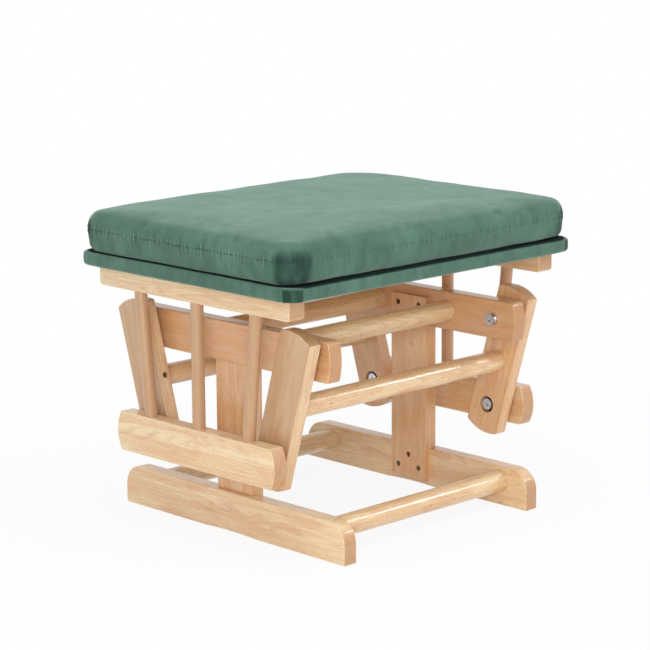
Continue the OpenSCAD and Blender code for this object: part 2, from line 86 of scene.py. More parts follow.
camera_place = Vector((-2.0174878, -2.0731896, 0.8351618))
camera_target = Vector((-0.0036661, 0.0035551, 0.2356004))
camera_roll = math.radians(-0.42253)
bpy.ops.object.camera_add(location=camera_place)
camera = bpy.context.object
camera.name = "photo_camera"
camera.data.sensor_width = 36
camera.data.lens = 129.493
camera.rotation_mode = "QUATERNION"
camera.rotation_quaternion = ((camera_target - camera_place).to_track_quat("-Z", "Y")
                              @ Quaternion((0, 0, 1), camera_roll))
bpy.context.scene.camera = camera

world = bpy.data.worlds.new("soft_studio")
bpy.context.scene.world = world
world.use_nodes = True
tree = world.node_tree
tree.nodes.clear()
room_light = add_node(tree, "Background", {"Color": colour("#FBFBFF"), "Strength": 0.5})
backdrop = add_node(tree, "Background", {"Color": colour("#FFFFFF"), "Strength": 1.0})
shown = add_node(tree, "MixShader", {0: seen_directly(tree), 1: room_light, 2: backdrop})
add_node(tree, "OutputWorld", {0: shown})

bpy.ops.mesh.primitive_plane_add(size=60, location=(0, 0, 0))
floor = bpy.context.object
floor.name = "studio_floor"
material = bpy.data.materials.new("white_studio_paper")
material.use_nodes = True
tree = material.node_tree
tree.nodes.clear()
paper = add_node(tree, "BsdfDiffuse", {"Color": colour("#F4F4F2")})
white = add_node(tree, "Emission", {"Color": colour("#FFFFFF"), "Strength": 1.0})
place = add_node(tree, "TexCoord")
away = add_node(tree, "VectorMath", {0: place.outputs["Object"]}, operation="LENGTH")
whiteness = add_node(tree, "MapRange", {"Value": away.outputs["Value"], "From Min": 0.35,
                                        "From Max": 1.1, "To Min": 0.9, "To Max": 1.0})
share = add_node(tree, "Math", {0: whiteness, 1: seen_directly(tree)}, operation="MULTIPLY")
surface = add_node(tree, "MixShader", {0: share, 1: paper, 2: white})
add_node(tree, "OutputMaterial", {0: surface})
floor.data.materials.append(material)

for name, place, size, power in (("key_softbox", (-2.0, -1.7, 0.8), 1.0, 28),
                                 ("front_softbox", (1.1, -2.3, 1.3), 1.2, 5),
                                 ("rim_softbox", (1.85, -1.5, 1.42), 0.3, 8),
                                 ("top_softbox", (-0.3, -0.3, 2.6), 2.0, 28)):
    bpy.ops.object.light_add(type="AREA", location=place)
    lamp = bpy.context.object
    lamp.name = name
    lamp.data.size = size
    lamp.data.energy = power
    lamp.rotation_mode = "QUATERNION"
    lamp.rotation_quaternion = (camera_target - Vector(place)).to_track_quat("-Z", "Y")


# ---- Floor runners ----
# Two beech boards that stand on the floor on their ends, relieved in the middle underneath.
# They are sawn to shape, rounded over along their outer edges with a router, sanded and
# finished with a clear lacquer.

grain_along_y = (0, 0, math.radians(-90))
grain_along_z = (0, math.radians(90), 0)
grain_along_x = (0, 0, 0)
growth_rings = 15.0  # how many the ring figure has between its lowest and highest value


def lacquered_beech(name, grain, seed, warmth=0.0, tone=0.0, face_tone=0.0):
    """European beech under clear satin lacquer: pale straw to pink, with fine short ray flecks
    along the grain and a soft gloss from the film. grain turns the board's length to X, and
    seed moves the figure, so that no two boards are cut from the same place. Boards differ in
    tone, and face_tone darkens the wide faces, which all look along world X. warmth turns a
    board orange: partly its own tone, and partly painted shade, for the orange light bounced
    between the wooden parts, which is strongest on the far side, under the seat."""
    material = bpy.data.materials.new("lacquered_beech_" + name)
    material.use_nodes = True
    tree = material.node_tree
    tree.nodes.clear()
    place = add_node(tree, "TexCoord")
    turned = add_node(tree, "Mapping", {"Vector": place.outputs["Object"], "Rotation": grain,
                                        "Location": (seed * 0.731, seed * 0.297, seed * 0.413)})

    def figure(length, width, detail, distortion=0.0):
        """The share of a figure in the wood whose patches are that long and wide, in
        millimetres."""
        stretched = add_node(tree, "Mapping", {
            "Vector": turned, "Scale": (1000 / length, 1000 / width, 1000 / width)})
        return add_node(tree, "TexNoise", {"Vector": stretched, "Scale": 1.0, "Detail": detail,
                                           "Distortion": distortion})

    def stain(shade, pattern, starts, full, strength, tint):
        """Tints the wood where the pattern passes starts, up to that strength at full."""
        share = add_node(tree, "MapRange", {
            "Value": pattern, "From Min": starts, "From Max": full, "To Max": strength},
            interpolation_type="SMOOTHSTEP")
        return add_node(tree, "Mix", {0: share, 6: shade, 7: colour(tint)}, data_type="RGBA")

    streaks = figure(210, 13, 3, 0.6)
    patches = figure(46, 17, 2, 0.3)
    fibres = figure(34, 1.3, 3)
    flecks = figure(5.5, 1.0, 1)
    layers = add_node(tree, "Math", {0: figure(330, 26, 1, 0.35), 1: growth_rings},
                      operation="MULTIPLY")
    ring = add_node(tree, "Math", {0: layers}, operation="FRACT")
    shade = stain(colour("#F3DBB0"), streaks, 0.34, 0.68, 1.0, "#E8C294")
    shade = stain(shade, patches, 0.5, 0.72, 0.4, "#DE9F75")
    shade = stain(shade, ring, 0.45, 0.97, 0.26, "#C98D58")
    shade = stain(shade, fibres, 0.45, 0.75, 0.3, "#CE9B66")
    shade = stain(shade, flecks, 0.645, 0.72, 0.62, "#A9713F")
    # Warmth is partly the board's own tone and partly painted shade: the orange of light bounced
    # between the wooden parts.
    shade = add_node(tree, "Mix", {0: warmth, 6: shade, 7: colour("#D48B4E")}, data_type="RGBA")
    shade = add_node(tree, "Mix", {0: tone, 6: shade, 7: colour("#B08560")}, data_type="RGBA")
    wide = add_node(tree, "SeparateXYZ", {0: place.outputs["Normal"]})
    face = add_node(tree, "Math", {0: wide}, operation="ABSOLUTE")
    shade = stain(shade, face, 0.5, 1.0, face_tone, "#B08560")

    # The ends of the board show its pores, and drink more of the lacquer.
    facing = add_node(tree, "Mapping", {"Vector": place.outputs["Normal"], "Rotation": grain},
                      vector_type="NORMAL")
    parts = add_node(tree, "SeparateXYZ", {0: facing})
    across = add_node(tree, "Math", {0: parts}, operation="ABSOLUTE")
    pores = stain(colour("#C08B5A"), figure(1.1, 1.1, 2), 0.4, 0.7, 1.0, "#A87043")
    end_share = add_node(tree, "MapRange", {
        "Value": across, "From Min": 0.6, "From Max": 0.95, "To Max": 0.75},
        interpolation_type="SMOOTHSTEP")
    shade = add_node(tree, "Mix", {0: end_share, 6: shade, 7: pores}, data_type="RGBA")

    # The film stands up a little over the fibres, where it is duller, and sinks at the flecks.
    gloss = add_node(tree, "MapRange", {
        "Value": fibres, "From Min": 0.3, "From Max": 0.8, "To Min": 0.34, "To Max": 0.46},
        interpolation_type="SMOOTHSTEP")
    fibre_height = add_node(tree, "MapRange", {"Value": fibres, "From Min": 0.2, "From Max": 0.8},
                            interpolation_type="SMOOTHSTEP")
    fleck_height = add_node(tree, "MapRange", {
        "Value": flecks, "From Min": 0.62, "From Max": 0.72, "To Min": 1.0, "To Max": 0.0},
        interpolation_type="SMOOTHSTEP")
    film = add_node(tree, "Bump", {"Strength": 0.35, "Distance": 0.00025, "Height": fibre_height})
    dimples = add_node(tree, "Bump", {"Strength": 0.5, "Distance": 0.0002, "Height": fleck_height,
                                      "Normal": film})
    lacquer = add_node(tree, "BsdfPrincipled", {
        "Base Color": shade, "Roughness": gloss, "IOR": 1.5, "Coat Weight": 0.7,
        "Coat Roughness": 0.13, "Normal": dimples})
    add_node(tree, "OutputMaterial", {0: lacquer})
    return material


def select_only(piece):
    """Selects the piece alone, and makes it the active one."""
    bpy.ops.object.select_all(action="DESELECT")
    piece.select_set(True)
    bpy.context.view_layer.objects.active = piece


def choose(piece, kind, wanted):
    """Selects only those edges or faces of the piece, by kind, that wanted says."""
    mesh = piece.data
    edges = kind == "EDGE"
    bpy.context.tool_settings.mesh_select_mode = (False, edges, not edges)
    for parts in (mesh.vertices, mesh.edges, mesh.polygons):
        parts.foreach_set("select", [False] * len(parts))
    for part in mesh.edges if edges else mesh.polygons:
        part.select = wanted(part)


def outline_edges(mesh, smallest):
    """The crisp outer edges that run round a board. The rims of its holes and sockets are
    runs of edges that span less than smallest, and stay crisp."""
    outline, beside = set(), {}
    for face in mesh.polygons:
        for key in face.edge_keys:
            beside.setdefault(key, []).append(face)
    crisp = {}
    for edge in mesh.edges:
        faces = beside.get(edge.key, [])
        if len(faces) != 2:
            continue
        first, second = faces
        middle = (mesh.vertices[edge.vertices[0]].co + mesh.vertices[edge.vertices[1]].co) / 2
        if (first.normal.angle(second.normal) > math.radians(40)
                and (second.center - middle).dot(first.normal) < -1e-6):
            crisp[edge.index] = edge
    meeting = {}
    for index, edge in crisp.items():
        for vertex in edge.vertices:
            meeting.setdefault(vertex, []).append(index)
    left = set(crisp)
    while left:
        run, edges = [left.pop()], []
        while run:
            index = run.pop()
            edges.append(index)
            for vertex in crisp[index].vertices:
                for other in meeting[vertex]:
                    if other in left:
                        left.remove(other)
                        run.append(other)
        corners = [mesh.vertices[v].co for i in edges for v in crisp[i].vertices]
        spans = [max(c[axis] for c in corners) - min(c[axis] for c in corners)
                 for axis in range(3)]
        if max(spans) > smallest:
            outline.update(edges)
    return outline


def finish_normals(piece):
    """Smooth over the rounded edges, with the flat faces kept flat."""
    select_only(piece)
    bpy.ops.object.shade_smooth_by_angle(angle=math.radians(38))
    bpy.ops.object.modifier_add(type="WEIGHTED_NORMAL")
    piece.modifiers[-1].keep_sharp = True
    bpy.ops.object.modifier_apply(modifier=piece.modifiers[-1].name)


def eased_board(board, body, grain, seed, ease=0.0015, **look):
    """A board cut as its CAD node is, with its outer edges rounded over."""
    piece = bpy.data.objects.new("eased_" + board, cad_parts[board].data.copy())
    bpy.context.scene.collection.objects.link(piece)
    select_only(piece)
    bpy.ops.object.mode_set(mode="EDIT")
    bpy.ops.mesh.customdata_custom_splitnormals_clear()
    bpy.ops.mesh.select_all(action="SELECT")
    bpy.ops.mesh.remove_doubles(threshold=1e-6)
    bpy.ops.mesh.dissolve_limited(angle_limit=math.radians(0.2))
    bpy.ops.object.mode_set(mode="OBJECT")
    outline = outline_edges(piece.data, smallest=0.04)
    choose(piece, "EDGE", lambda edge: edge.index in outline)
    bpy.ops.object.mode_set(mode="EDIT")
    bpy.ops.mesh.bevel(offset=ease, segments=3, affect="EDGES", clamp_overlap=False,
                       loop_slide=False)
    bpy.ops.object.mode_set(mode="OBJECT")
    finish_normals(piece)
    piece.data.materials.clear()
    piece.data.materials.append(lacquered_beech(board, grain, seed, **look))
    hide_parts(board)
    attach(piece, body)
    return piece


# Boards on the far side get more warmth, partly as painted shade for light bounced under the
# seat.
eased_board("runner_left", "base", grain_along_y, 1, warmth=0.05)
eased_board("runner_right", "base", grain_along_y, 2, warmth=0.15)


# ---- Cross dowels of the base ----
# Four turned beech rods that space the two side frames, glued into blind sockets and locked
# there by screws. Their ends are chamfered so that they enter the sockets.

def turned_rod(rod, body, grain, seed, sides=64, chamfer=0.001, **look):
    """A round rod along its CAD node's longest side, chamfered at both ends."""
    low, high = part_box(rod)
    size = high - low
    length = max(size)
    along = list(size).index(length)
    turn = {0: (0, math.radians(90), 0), 1: (math.radians(90), 0, 0), 2: (0, 0, 0)}[along]
    bpy.ops.object.select_all(action="DESELECT")
    bpy.ops.mesh.primitive_cylinder_add(vertices=sides, radius=min(size) / 2, depth=length,
                                        location=(low + high) / 2, rotation=turn)
    piece = bpy.context.object
    piece.name = "turned_" + rod
    bpy.ops.object.transform_apply(location=True, rotation=True, scale=True)
    points = piece.data.vertices
    choose(piece, "EDGE", lambda edge: abs(points[edge.vertices[0]].co[along]
                                           - points[edge.vertices[1]].co[along]) < 1e-6)
    bpy.ops.object.mode_set(mode="EDIT")
    bpy.ops.mesh.bevel(offset=chamfer, segments=2, affect="EDGES")
    bpy.ops.object.mode_set(mode="OBJECT")
    finish_normals(piece)
    piece.data.materials.append(lacquered_beech(rod, grain, seed, **look))
    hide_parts(rod)
    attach(piece, body)
    return piece


turned_rod("runner_dowel_front", "base", grain_along_x, 3)
turned_rod("runner_dowel_back", "base", grain_along_x, 4)
turned_rod("top_dowel_front", "base", grain_along_x, 5, warmth=0.1)
turned_rod("top_dowel_back", "base", grain_along_x, 6, warmth=0.2)


# ---- Posts ----
# One upright beech board on each side, lapped on the inner faces of its runner and top rail,
# and held at each lap by three screws in counterbored holes.

eased_board("post_left", "base", grain_along_z, 7, ease=0.001, warmth=0.36)
eased_board("post_right", "base", grain_along_z, 8, ease=0.001, warmth=0.42)


# ---- Top rails ----
# Two beech rails with bulged ends, which carry the swing links on bolts through ball bearings.

eased_board("top_rail_left", "base", grain_along_y, 9, warmth=0.48)
eased_board("top_rail_right", "base", grain_along_y, 10, warmth=0.55, tone=0.25)


# ---- Swing links ----
# Four beech links with bulged ends, joined in pairs by a dowel. Each hangs from a top rail by
# one bolt, and the seat frame hangs from its lower end.

link_tilt = math.radians(16.25)
for end, tilt, seed in (("front", -link_tilt, 11), ("back", link_tilt, 15)):
    for step, side in enumerate(("left", "right")):
        eased_board(f"{end}_link_{side}", f"{end}_links", (tilt, math.radians(90), 0),
                    seed + step, ease=0.001, warmth=0.05 + 0.35 * step,
                    tone=0.15 * (1 - step), face_tone=0.5 - 0.5 * step)
    turned_rod(f"{end}_link_dowel", f"{end}_links", grain_along_x, seed + 2, warmth=0.15)


# ---- Screws, bolts and bearings ----
# Bright zinc plated furniture bolts with hexagon sockets, on washers, in ground steel ball
# bearings. The wood screws have a dulled yellow zinc finish.

def plated_steel(name, tone, dark, roughness, grit):
    """Steel, ground or under a thin plating: metallic, and cloudy with patches as wide as grit,
    in millimetres, which are darker, duller and slightly sunk."""
    material = bpy.data.materials.new(name)
    material.use_nodes = True
    tree = material.node_tree
    tree.nodes.clear()
    place = add_node(tree, "TexCoord")
    clouds = add_node(tree, "TexNoise", {"Vector": place.outputs["Object"],
                                         "Scale": 1000 / grit, "Detail": 4.0})
    share = add_node(tree, "MapRange", {"Value": clouds, "From Min": 0.35, "From Max": 0.7})
    shade = add_node(tree, "Mix", {0: share, 6: colour(tone), 7: colour(dark)},
                     data_type="RGBA")
    dull = add_node(tree, "MapRange", {"Value": clouds, "From Min": 0.3, "From Max": 0.7,
                                       "To Min": roughness - 0.06, "To Max": roughness + 0.08})
    bump = add_node(tree, "Bump", {"Strength": 0.2, "Distance": 0.0001, "Height": clouds})
    steel = add_node(tree, "BsdfPrincipled", {"Base Color": shade, "Metallic": 1.0,
                                              "Roughness": dull, "Normal": bump})
    add_node(tree, "OutputMaterial", {0: steel})
    return material


bright_zinc = plated_steel("bright_zinc_plated_steel", "#D9DBDE", "#B4B7BC", 0.26, 2.0)
ground_steel = plated_steel("ground_bearing_steel", "#C6C8CC", "#9EA1A6", 0.2, 1.2)
dull_zinc = plated_steel("dulled_yellow_zinc_screw_steel", "#7A6A50", "#54483A", 0.42, 1.5)
for name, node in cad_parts.items():
    if name.endswith("screws"):
        finish = dull_zinc
    elif name.endswith(("bolts", "washers", "sleeves", "spacers", "inserts")):
        finish = bright_zinc
    elif name.endswith(("rings", "balls")):
        finish = ground_steel
    else:
        continue
    for slot in node.material_slots:
        slot.material = finish


# ---- Seat frame ----
# Two beech lower rails that hang in the links, each with three round spindles glued upright
# in its top, and an upper rail glued on the spindles' heads. The board is screwed to those.

eased_board("lower_rail_left", "seat", grain_along_y, 20, ease=0.001)
eased_board("lower_rail_right", "seat", grain_along_y, 21, ease=0.001, warmth=0.2)
eased_board("upper_rail_left", "seat", grain_along_y, 22)
eased_board("upper_rail_right", "seat", grain_along_y, 23, warmth=0.2)
for step, spindle in enumerate(f"spindle_{side}_{place}" for side in ("left", "right")
                               for place in ("front", "middle", "back")):
    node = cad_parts[spindle]
    finish = lacquered_beech(spindle, grain_along_z, 24 + step, warmth=0.3, tone=0.7)
    for slot in node.material_slots:
        slot.material = finish


# ---- Seat board and its cover ----
# A plywood board screwed to the upper rails from below, with green microfibre drawn tight over
# thin wadding, pleated at the corners and returned under the edge, where the board stays bare.

def sanded_plywood():
    """Birch plywood, sanded: a pale face veneer, matt and unlacquered, with a soft figure about
    170 mm long and 18 mm wide."""
    material = bpy.data.materials.new("sanded_birch_plywood")
    material.use_nodes = True
    tree = material.node_tree
    tree.nodes.clear()
    place = add_node(tree, "TexCoord")
    along = add_node(tree, "Mapping", {"Vector": place.outputs["Object"],
                                       "Scale": (6, 55, 55)})
    veneer = add_node(tree, "TexNoise", {"Vector": along, "Scale": 1.0, "Detail": 5.0,
                                         "Distortion": 1.2})
    shade = add_node(tree, "Mix", {0: veneer, 6: colour("#D9BD8C"), 7: colour("#B98F5C")},
                     data_type="RGBA")
    bump = add_node(tree, "Bump", {"Strength": 0.3, "Distance": 0.0003, "Height": veneer})
    wood = add_node(tree, "BsdfPrincipled", {"Base Color": shade, "Roughness": 0.7,
                                             "Normal": bump})
    add_node(tree, "OutputMaterial", {0: wood})
    return material


def green_microfibre(rest_height, seam_height, corner_start):
    """Brushed polyester microfibre: a short dense nap in deep green. It is matt from the front
    and pale at a grazing angle, with cloudy patches where the nap lies another way. The nap is
    drawn 0.7 mm coarse, because the real fibres are too fine to show. Dark thread shows along
    the seam, and its short puckers have painted shade and painted highlight. Round each corner
    the colour has painted shade and no sheen, and where the cushion meets the board the cloth
    is painted dark as shadow, with no sheen. rest_height is where the cushion lies on the
    board, and corner_start the x and y that the painted shade starts from."""
    material = bpy.data.materials.new("green_brushed_microfibre")
    material.use_nodes = True
    tree = material.node_tree
    tree.nodes.clear()
    place = add_node(tree, "TexCoord")
    at = add_node(tree, "SeparateXYZ", {0: place.outputs["Object"]})
    facing = add_node(tree, "SeparateXYZ", {0: place.outputs["Normal"]})

    def clouds(size, detail, stretch=(1, 1, 1)):
        """Patches of that size in millimetres, longer along an axis whose stretch is small."""
        scaled = add_node(tree, "Mapping", {
            "Vector": place.outputs["Object"], "Scale": [1000 / size * s for s in stretch]})
        return add_node(tree, "TexNoise", {"Vector": scaled, "Scale": 1.0, "Detail": detail})

    nap = clouds(0.7, 2)
    brushed = clouds(14, 3, (1, 1, 0.45))
    shade = colour("#476558")
    for patches, starts, full, tint in ((clouds(60, 2), 0.35, 0.65, "#567769"),
                                        (brushed, 0.42, 0.75, "#3D5A4E"),
                                        (nap, 0.5, 0.8, "#648A78")):
        share = add_node(tree, "MapRange", {"Value": patches, "From Min": starts,
                                            "From Max": full})
        shade = add_node(tree, "Mix", {0: share, 6: shade, 7: colour(tint)}, data_type="RGBA")

    # The seam strays a little from its height, and shows more on the sides than at the front.
    sideways = add_node(tree, "Math", {0: facing.outputs["X"]}, operation="ABSOLUTE")
    on_side = add_node(tree, "MapRange", {"Value": sideways, "From Min": 0.3, "From Max": 0.8,
                                          "To Min": 0.3})
    straying = add_node(tree, "MapRange", {
        "Value": clouds(5, 1, (1, 1, 0.01)), "From Min": 0.3, "From Max": 0.7,
        "To Min": -0.0007, "To Max": 0.0007})
    height = add_node(tree, "Math", {0: at.outputs["Z"], 1: seam_height}, operation="SUBTRACT")
    strayed = add_node(tree, "Math", {0: straying, 1: height}, operation="ADD")
    off_seam = add_node(tree, "Math", {0: strayed}, operation="ABSOLUTE")

    # Its puckers have painted shade in their valleys and painted highlight on their ridges.
    pucker = clouds(2.4, 1, (1, 1, 0.22))
    gathered = add_node(tree, "MapRange", {"Value": clouds(38, 1), "From Min": 0.38,
                                           "From Max": 0.6, "To Min": 0.3})
    strength = add_node(tree, "Math", {0: gathered, 1: on_side}, operation="MULTIPLY")
    near_seam = add_node(tree, "MapRange", {"Value": off_seam, "From Min": 0.001,
                                            "From Max": 0.009, "To Min": strength,
                                            "To Max": 0.0})
    for starts, full, most, tint in ((0.53, 0.68, 0.5, "#2F483E"), (0.45, 0.33, 0.25, "#7FA392")):
        pucker_shade_and_highlight = add_node(tree, "MapRange", {"Value": pucker, "From Min": starts,
                                           "From Max": full, "To Max": most})
        share = add_node(tree, "Math", {0: near_seam, 1: pucker_shade_and_highlight}, operation="MULTIPLY")
        shade = add_node(tree, "Mix", {0: share, 6: shade, 7: colour(tint)}, data_type="RGBA")

    # Its dark thread shows in short stitches, mostly in the valleys of the puckers.
    along = add_node(tree, "Math", {0: at.outputs["X"], 1: at.outputs["Y"]}, operation="ADD")
    counted = add_node(tree, "Math", {0: along, 1: stitches_per_metre}, operation="MULTIPLY")
    within = add_node(tree, "Math", {0: counted}, operation="FRACT")
    stitch = on_side
    for value, starts, full, least, most in ((within, 0.35, 0.5, 0.2, 1.0),
                                             (off_seam, 0.0004, 0.0011, 1.0, 0.0),
                                             (pucker, 0.42, 0.55, 0.15, 0.75)):
        share = add_node(tree, "MapRange", {"Value": value, "From Min": starts,
                                            "From Max": full, "To Min": least, "To Max": most})
        stitch = add_node(tree, "Math", {0: stitch, 1: share}, operation="MULTIPLY")
    shade = add_node(tree, "Mix", {0: stitch, 6: shade, 7: colour("#1C2C26")}, data_type="RGBA")

    # Round a corner the colour is darkened as painted shade, for the sheen that a corner loses
    # where it faces the viewer, in a narrower and sharper patch on the cover of the board.
    on_cover = add_node(tree, "MapRange", {
        "Value": at.outputs["Z"], "From Min": rest_height - 0.0005,
        "From Max": rest_height + 0.0005, "To Min": 1.0, "To Max": 0.0})
    spread = add_node(tree, "Math", {0: on_cover, 1: 0.018}, operation="MULTIPLY")
    blur = add_node(tree, "MapRange", {"Value": on_cover, "To Min": 0.009, "To Max": 0.0012})
    uneven = add_node(tree, "MapRange", {
        "Value": clouds(13, 2, (1, 1, 0.3)), "From Min": 0.3, "From Max": 0.7,
        "To Min": -0.0012, "To Max": 0.0012})
    corner = add_node(tree, "MapRange", {
        "Value": clouds(11, 2, (1, 1, 0.3)), "From Min": 0.3, "From Max": 0.6, "To Min": 0.5,
        "To Max": 0.9})
    for axis, line in zip("XY", corner_start):
        distance = add_node(tree, "Math", {0: at.outputs[axis]}, operation="ABSOLUTE")
        wavering = add_node(tree, "Math", {0: distance, 1: uneven}, operation="ADD")
        edge = add_node(tree, "Math", {0: spread, 1: line - 0.003}, operation="ADD")
        depth = add_node(tree, "Math", {0: wavering, 1: edge}, operation="SUBTRACT")
        share = add_node(tree, "Math", {0: depth, 1: blur}, operation="DIVIDE", use_clamp=True)
        corner = add_node(tree, "Math", {0: corner, 1: share}, operation="MULTIPLY")
    for value, starts, ends in ((at.outputs["Z"], seam_height + 0.004, seam_height + 0.018),
                                (facing.outputs["Z"], 0.35, 0.8)):
        share = add_node(tree, "MapRange", {"Value": value, "From Min": starts,
                                            "From Max": ends, "To Min": 1.0, "To Max": 0.0})
        corner = add_node(tree, "Math", {0: corner, 1: share}, operation="MULTIPLY")
    shade = add_node(tree, "Mix", {0: corner, 6: shade, 7: colour("#263A32")}, data_type="RGBA")

    # Between the board and the cushion the cloth is painted dark as shadow, and has no sheen:
    # on the cushion's underside, and on the board under the cushion. At the front and back this
    # painted shadow goes on to the board's edge, in the cushion's shade.
    downward = add_node(tree, "MapRange", {"Value": facing.outputs["Z"], "From Min": -0.82,
                                           "From Max": -0.94})
    on_cushion = add_node(tree, "Math", {0: 1.0, 1: on_cover}, operation="SUBTRACT")
    under = add_node(tree, "Math", {0: downward, 1: on_cushion}, operation="MULTIPLY")
    beside = add_node(tree, "VectorMath", {0: place.outputs["Object"]}, operation="ABSOLUTE")
    past = add_node(tree, "VectorMath", {0: beside, 1: (*corner_start, 1.0)},
                    operation="SUBTRACT")
    past = add_node(tree, "VectorMath", {0: past, 1: (0, 0, 0)}, operation="MAXIMUM")
    out = add_node(tree, "VectorMath", {0: past}, operation="LENGTH")
    covered = add_node(tree, "MapRange", {"Value": out.outputs["Value"], "From Min": 0.0345,
                                          "From Max": 0.0318})
    upward = add_node(tree, "MapRange", {"Value": facing.outputs["Z"], "From Min": 0.55,
                                         "From Max": 0.85, "To Max": on_cover})
    on_board = add_node(tree, "Math", {0: covered, 1: upward}, operation="MULTIPLY")
    painted_gap_shadow = add_node(tree, "Math", {0: under, 1: on_board}, operation="MAXIMUM")
    share = add_node(tree, "Math", {0: painted_gap_shadow, 1: 0.9}, operation="MULTIPLY")
    shade = add_node(tree, "Mix", {0: share, 6: shade, 7: colour("#16211D")}, data_type="RGBA")

    fuzz = add_node(tree, "Bump", {"Strength": 0.45, "Distance": 0.0004, "Height": nap})
    rucks = add_node(tree, "Bump", {"Strength": 0.3, "Distance": 0.0012, "Height": brushed,
                                    "Normal": fuzz})
    body = {"Base Color": shade, "Roughness": 0.92, "Specular IOR Level": 0.05, "Normal": rucks}
    raised = add_node(tree, "BsdfPrincipled", body | {
        "Sheen Weight": 0.6, "Sheen Roughness": 0.45, "Sheen Tint": colour("#CFE8DA")})
    sheenless_cloth = add_node(tree, "BsdfPrincipled", body)
    # Round the corners the sheen is taken off too, with their painted shade.
    drawn = add_node(tree, "Math", {0: corner, 1: 0.6}, operation="MULTIPLY")
    painted_shade_share = add_node(tree, "Math", {0: painted_gap_shadow, 1: drawn}, operation="MAXIMUM")
    cloth = add_node(tree, "MixShader", {0: painted_shade_share, 1: raised, 2: sheenless_cloth})
    add_node(tree, "OutputMaterial", {0: cloth})
    return material


def rounded_slab(name, low, high, corner, top_edge, bottom_edge, corner_steps=8):
    """A slab with rounded corners in plan, and rounded upper and lower edges."""
    bpy.ops.object.select_all(action="DESELECT")
    bpy.ops.mesh.primitive_cube_add(size=1, location=(low + high) / 2)
    piece = bpy.context.object
    piece.name = name
    piece.scale = high - low
    bpy.ops.object.transform_apply(location=True, rotation=True, scale=True)
    for chosen, radius, steps in ((lambda a, b: abs(a.z - b.z) > 0.001, corner,
                                   corner_steps),
                                  (lambda a, b: min(a.z, b.z) > high.z - 1e-5, top_edge, 5),
                                  (lambda a, b: max(a.z, b.z) < low.z + 1e-5, bottom_edge, 5)):
        points = piece.data.vertices
        choose(piece, "EDGE", lambda edge: chosen(*(points[v].co for v in edge.vertices)))
        bpy.ops.object.mode_set(mode="EDIT")
        bpy.ops.mesh.bevel(offset=radius, segments=steps, affect="EDGES")
        bpy.ops.object.mode_set(mode="OBJECT")
    return piece


def cut_in_strips(piece, low, high, corner, spacing):
    """Cuts the slab across at even steps between its corners, so that its cloth can wave."""
    select_only(piece)
    bpy.ops.object.mode_set(mode="EDIT")
    for axis in (0, 1):
        start, end = low[axis] + corner, high[axis] - corner
        steps = round((end - start) / spacing)
        for step in range(steps + 1):
            place, across = Vector((0, 0, 0)), Vector((0, 0, 0))
            place[axis], across[axis] = start + (end - start) * step / steps, 1
            bpy.ops.mesh.select_all(action="SELECT")
            bpy.ops.mesh.bisect(plane_co=place, plane_no=across)
    bpy.ops.object.mode_set(mode="OBJECT")


def plump(piece, pressure, outward_cap, inward_cap):
    """Blows the piece up as a tight cloth bag. What is inside holds the cloth out, so that it
    moves inwards less far than outwards. The mesh is then made finer."""
    select_only(piece)
    bpy.ops.object.modifier_add(type="CLOTH")
    cloth = piece.modifiers[-1]
    cloth.settings.quality = 5
    cloth.settings.tension_stiffness = 40
    cloth.settings.compression_stiffness = 40
    cloth.settings.shear_stiffness = 40
    cloth.settings.bending_stiffness = 5
    cloth.settings.use_pressure = True
    cloth.settings.uniform_pressure_force = pressure
    cloth.settings.effector_weights.gravity = 0
    for frame_number in range(1, 21):
        bpy.context.scene.frame_set(frame_number)
    swollen = piece.evaluated_get(bpy.context.evaluated_depsgraph_get()).data
    moves = [after.co - before.co
             for after, before in zip(swollen.vertices, piece.data.vertices)]
    piece.modifiers.remove(cloth)
    bpy.context.scene.frame_set(1)

    def held(point, outward, moves=iter(moves)):
        move = next(moves)
        cap = outward_cap if move.dot(outward) > 0 else inward_cap
        return point + move * (cap * math.tanh(move.length / cap) / max(move.length, 1e-9))

    reshape(piece, held)
    bpy.ops.object.modifier_add(type="SUBSURF")
    piece.modifiers[-1].levels = piece.modifiers[-1].render_levels = 1
    bpy.ops.object.modifier_apply(modifier=piece.modifiers[-1].name)
    bpy.ops.object.shade_smooth()


def reshape(piece, moved):
    """Moves every vertex to where moved(place, outward normal) puts it."""
    now = [(vertex.co.copy(), vertex.normal.copy()) for vertex in piece.data.vertices]
    piece.data.vertices.foreach_set("co", [c for place, outward in now
                                           for c in moved(place, outward)])
    piece.data.update()


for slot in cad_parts["seat_board"].material_slots:
    slot.material = sanded_plywood()

cushion_low, cushion_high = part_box("cushion")
rest_z = cushion_low.z
seam_z = rest_z + 0.0280
stitches_per_metre = 310.0
corner_start = (0.2125, 0.1625)
microfibre = green_microfibre(rest_z, seam_z, corner_start)

cover_low, cover_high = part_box("board_cover")
cover_corner = 0.025
cover_edge = 0.0045
cover_swell = 0.0005
cover_thick = 0.0014
cover_return = 0.062
edge_zone = 0.007
swell = Vector((cover_swell,) * 3)
cover = rounded_slab("board_cover_cloth", cover_low + swell, cover_high - swell, cover_corner,
                     cover_edge, cover_edge, corner_steps=20)
cut_in_strips(cover, cover_low + swell, cover_high - swell, cover_corner, spacing=0.007)
plump(cover, pressure=0.3, outward_cap=cover_swell, inward_cap=0.0001)

# The cloth waves a little along its edges, and is pleated round the corners. Each pleat has
# its angle from the corner's middle, in radians, and its depth.
pleats = ((-0.62, 0.0006), (-0.2, 0.0004), (0.24, 0.0007), (0.66, 0.0005))
pleat_width = 0.055
pleat_fade = 0.012
half_x, half_y = cover_high.x, cover_high.y


